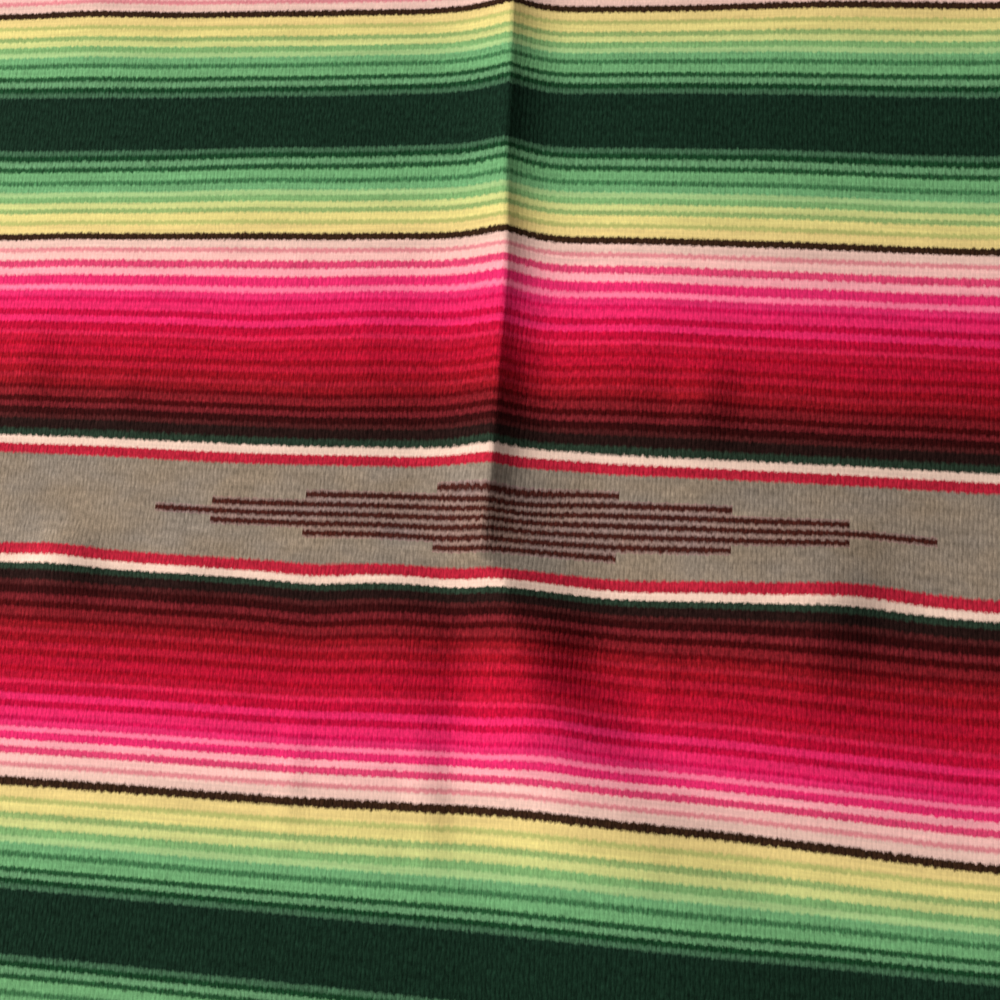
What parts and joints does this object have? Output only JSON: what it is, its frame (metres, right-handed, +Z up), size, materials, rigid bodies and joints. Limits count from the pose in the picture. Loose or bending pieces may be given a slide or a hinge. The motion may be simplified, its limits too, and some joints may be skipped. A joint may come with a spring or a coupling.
{
  "type": "mexican serape",
  "caption": "Hand-woven striped serape laid flat: one cloth panel with a pressed middle crease and soft folds, and a knotted warp fringe across each short side.",
  "frame": {"origin": "middle of the footprint, on the surface that the cloth rests on", "axes": "+Y along the warp, from the foot end to the head end; +X across the width, from selvedge to selvedge; +Z up, out of the cloth's face"},
  "size_m": [1.22, 2.3146, 0.0199],
  "materials": {
    "striped_cloth": "weft-faced wool and cotton weave, matt, ribbed along the length",
    "warp_yarn": "plied natural cotton yarn, matt"
  },
  "bodies": {
    "root": {"cloth_panel": "striped_cloth", "fringe_head_end": "warp_yarn", "fringe_foot_end": "warp_yarn"}
  },
  "joints": []
}
